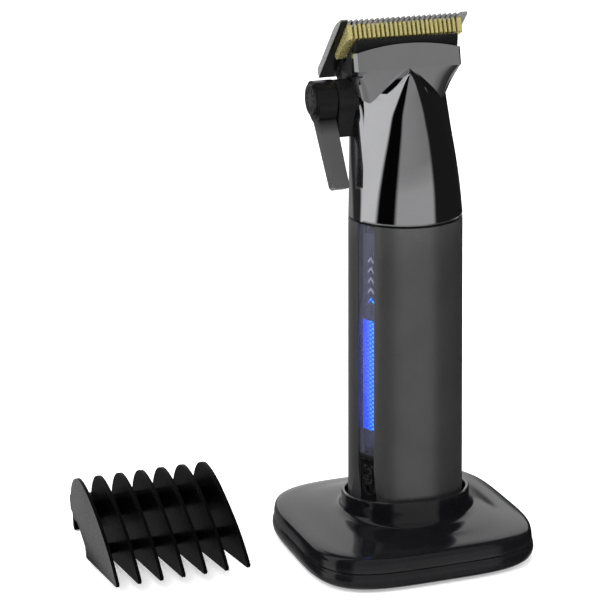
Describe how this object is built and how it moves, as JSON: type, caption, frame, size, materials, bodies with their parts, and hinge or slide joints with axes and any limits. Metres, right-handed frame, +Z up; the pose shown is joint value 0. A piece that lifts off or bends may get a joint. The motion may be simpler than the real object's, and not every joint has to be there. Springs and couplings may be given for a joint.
{
  "type": "hair clipper",
  "caption": "Cordless hair clipper with a taper lever and gold cutter, upright in its charging stand, with a long-finned guide comb beside it.",
  "frame": {"origin": "centre of the charging stand's underside, under the handle's axis", "axes": "+Z up along the handle; the clipper's front faces -Y, its fixed blade faces +Y; the taper lever and the comb are on the -X side"},
  "size_m": [0.1531, 0.1009, 0.192],
  "materials": {
    "gloss_black": "polished",
    "pad_rubber": "fine matt",
    "plain_steel": "satin",
    "circuit_board": "matt",
    "contact_brass": "satin",
    "gunmetal": "satin",
    "smoked_window": "polished",
    "light_blue": "translucent",
    "mark_grey": "matt",
    "black_chrome": "mirror",
    "black_plastic": "fine matt",
    "blade_steel": "ground",
    "gold_coated_steel": "ground",
    "cell_wrap": "shrink film",
    "lever_metal": "gloss",
    "comb_plastic": "satin"
  },
  "bodies": {
    "stand": {"stand_top_cover": "gloss_black", "stand_bottom_cover": "gloss_black", "stand_base_pad": "pad_rubber", "stand_weight_plate": "plain_steel", "stand_circuit_board": "circuit_board", "stand_contact_pins": "contact_brass", "stand_power_inlet": "black_plastic", "stand_inlet_pin": "contact_brass", "stand_screws": "plain_steel"},
    "clipper": {"handle_shell": "gunmetal", "handle_bottom_cap": "black_plastic", "handle_contacts": "contact_brass", "cap_screws": "plain_steel", "side_window": "smoked_window", "light_bar": "light_blue", "light_chevrons": "mark_grey", "lit_chevron": "light_blue", "light_board": "circuit_board", "switch_bezel": "gloss_black", "electric_switch": "black_plastic", "battery_cell": "cell_wrap", "battery_cradle": "black_plastic", "main_circuit_board": "circuit_board", "joint_ring": "black_plastic", "head_front_cover": "black_chrome", "head_back_cover": "black_chrome", "cover_screws": "plain_steel", "lever_block": "lever_metal", "lever_bush": "contact_brass", "blade_bed": "black_plastic", "nose_insert": "black_plastic", "motor_can": "plain_steel", "motor_mount": "black_plastic", "cutter_spring": "plain_steel"},
    "power_switch": {"power_switch_slider": "gloss_black"},
    "taper_lever": {"taper_lever_arm": "lever_metal", "lever_cap": "lever_metal", "lever_screw": "plain_steel", "lever_washer": "plain_steel", "lever_shaft": "plain_steel"},
    "taper_carriage": {"fixed_blade": "blade_steel", "blade_carrier": "black_plastic", "blade_screws": "plain_steel"},
    "cutter": {"cutter_blade": "gold_coated_steel", "cutter_rivets": "plain_steel", "cutter_yoke": "black_plastic"},
    "drive_rotor": {"motor_shaft": "plain_steel", "eccentric": "black_plastic", "drive_bearing": "plain_steel"},
    "comb": {"comb_guide": "comb_plastic"}
  },
  "joints": [
    {"name": "clipper_lift", "type": "slide", "parent": "stand", "child": "clipper", "axis": [0, 0, 1], "range_m": [0, 0.06]},
    {"name": "comb_lift", "type": "slide", "parent": "stand", "child": "comb", "axis": [0, 0, 1], "range_m": [0, 0.06]},
    {"name": "power_switch", "type": "slide", "parent": "clipper", "child": "power_switch", "axis": [0, 0, 1], "range_m": [-0.003, 0]},
    {"name": "taper_lever", "type": "hinge", "parent": "clipper", "child": "taper_lever", "pos_m": [-0.0264, 0.0088, 0.164], "axis": [-1, 0, 0], "range_deg": [0, 50]},
    {"name": "taper_slide", "type": "slide", "parent": "clipper", "child": "taper_carriage", "axis": [0, 0.7071, -0.7071], "range_m": [0, 0.0014]},
    {"name": "cutter_stroke", "type": "slide", "parent": "clipper", "child": "cutter", "axis": [1, 0, 0], "range_m": [-0.0012, 0.0012]},
    {"name": "rotor_spin", "type": "hinge", "parent": "clipper", "child": "drive_rotor", "pos_m": [0, 0, 0.14], "axis": [0, 0, 1], "continuous": true}
  ],
  "couplings": [
    {"joint": "taper_lever", "follows": "taper_slide", "rad_per_m": 623.33}
  ]
}
